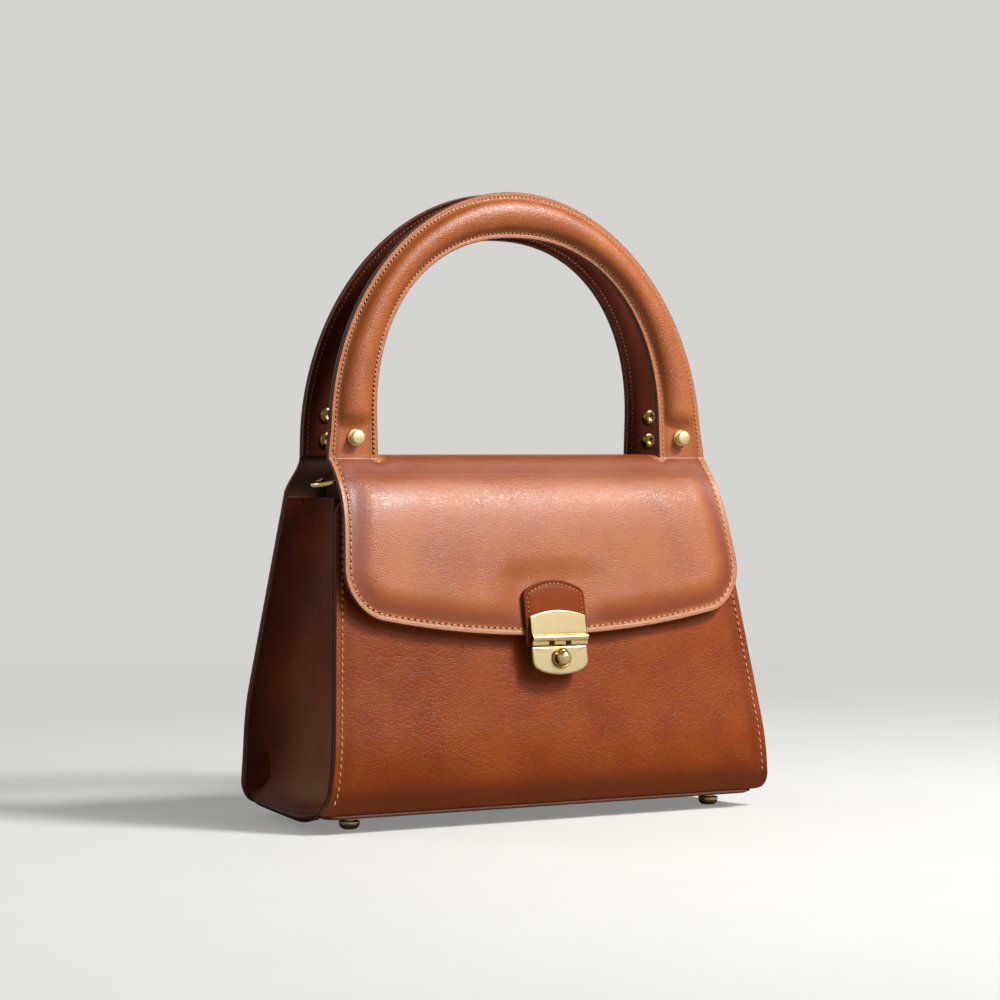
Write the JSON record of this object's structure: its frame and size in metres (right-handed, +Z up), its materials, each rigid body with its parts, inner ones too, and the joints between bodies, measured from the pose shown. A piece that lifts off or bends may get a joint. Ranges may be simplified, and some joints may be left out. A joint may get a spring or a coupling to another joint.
{
  "type": "leather handbag",
  "caption": "Structured tan leather top-handle handbag with an opening front flap, push-knob lock, padded arch handles, dished gussets, side D-rings and brass feet.",
  "frame": {"origin": "middle of the outer box in plan, on the ground under the feet", "axes": "+Z up; the flap and lock face -Y; +X runs along the bag's width, to the right as seen from the front"},
  "size_m": [0.2378, 0.1043, 0.2942],
  "materials": {
    "tan_leather": "smooth vegetable-tanned calf, waxed",
    "suede_lining": "suede",
    "leatherboard": "pressed fibre board",
    "handle_filler": "felted filler",
    "brass_fittings": "polished",
    "plated_steel": "nickel plated"
  },
  "bodies": {
    "bag_body": {"front_panel": "tan_leather", "back_panel": "tan_leather", "left_gusset": "tan_leather", "right_gusset": "tan_leather", "base_panel": "tan_leather", "front_board": "leatherboard", "back_board": "leatherboard", "base_board": "leatherboard", "lining": "suede_lining", "foot_front_left": "brass_fittings", "foot_front_right": "brass_fittings", "foot_back_left": "brass_fittings", "foot_back_right": "brass_fittings", "foot_washer_front_left": "plated_steel", "foot_washer_front_right": "plated_steel", "foot_washer_back_left": "plated_steel", "foot_washer_back_right": "plated_steel", "lock_plate": "brass_fittings", "lock_case": "plated_steel", "lock_backplate": "plated_steel", "lock_screw_left": "plated_steel", "lock_screw_right": "plated_steel", "knob_spring": "plated_steel", "left_ring_tab": "tan_leather", "right_ring_tab": "tan_leather"},
    "front_handle": {"front_handle_skin": "tan_leather", "front_handle_strap": "tan_leather", "front_handle_core": "handle_filler", "front_stud_left": "brass_fittings", "front_stud_right": "brass_fittings", "flap_top": "tan_leather"},
    "rear_handle": {"rear_handle_skin": "tan_leather", "rear_handle_strap": "tan_leather", "rear_handle_core": "handle_filler", "rear_rivet_left_lower": "brass_fittings", "rear_rivet_left_upper": "brass_fittings", "rear_rivet_right_lower": "brass_fittings", "rear_rivet_right_upper": "brass_fittings"},
    "flap": {"flap_panel": "tan_leather", "flap_lining": "suede_lining", "lock_tab": "tan_leather", "hasp_plate": "brass_fittings", "hasp_bar": "brass_fittings"},
    "knob": {"lock_knob": "brass_fittings"},
    "left_ring": {"left_d_ring": "brass_fittings"},
    "right_ring": {"right_d_ring": "brass_fittings"}
  },
  "joints": [
    {"name": "handle_fold", "type": "hinge", "parent": "bag_body", "child": "front_handle", "pos_m": [0, 0.01959, 0.16935], "axis": [-1, 0, 0], "range_deg": [0, 50]},
    {"name": "rear_handle_fold", "type": "hinge", "parent": "bag_body", "child": "rear_handle", "pos_m": [0, 0.01959, 0.16935], "axis": [-1, 0, 0], "range_deg": [0, 50]},
    {"name": "flap_lift", "type": "hinge", "parent": "front_handle", "child": "flap", "pos_m": [0, -0.01361, 0.166], "axis": [-1, 0, 0], "range_deg": [0, 90]},
    {"name": "lock_knob_push", "type": "slide", "parent": "bag_body", "child": "knob", "axis": [0, 0.9819, -0.1895], "range_m": [0, 0.002], "stiffness_N_per_m": 400, "springref_m": -0.001, "deforming": ["knob_spring"]},
    {"name": "left_ring_swing", "type": "hinge", "parent": "bag_body", "child": "left_ring", "pos_m": [-0.09169, 0.00359, 0.1585], "axis": [0, 1, 0], "range_deg": [0, 100]},
    {"name": "right_ring_swing", "type": "hinge", "parent": "bag_body", "child": "right_ring", "pos_m": [0.09169, 0.00359, 0.1585], "axis": [0, -1, 0], "range_deg": [0, 100]}
  ],
  "couplings": [
    {"joint": "rear_handle_fold", "follows": "handle_fold", "ratio": 1}
  ]
}
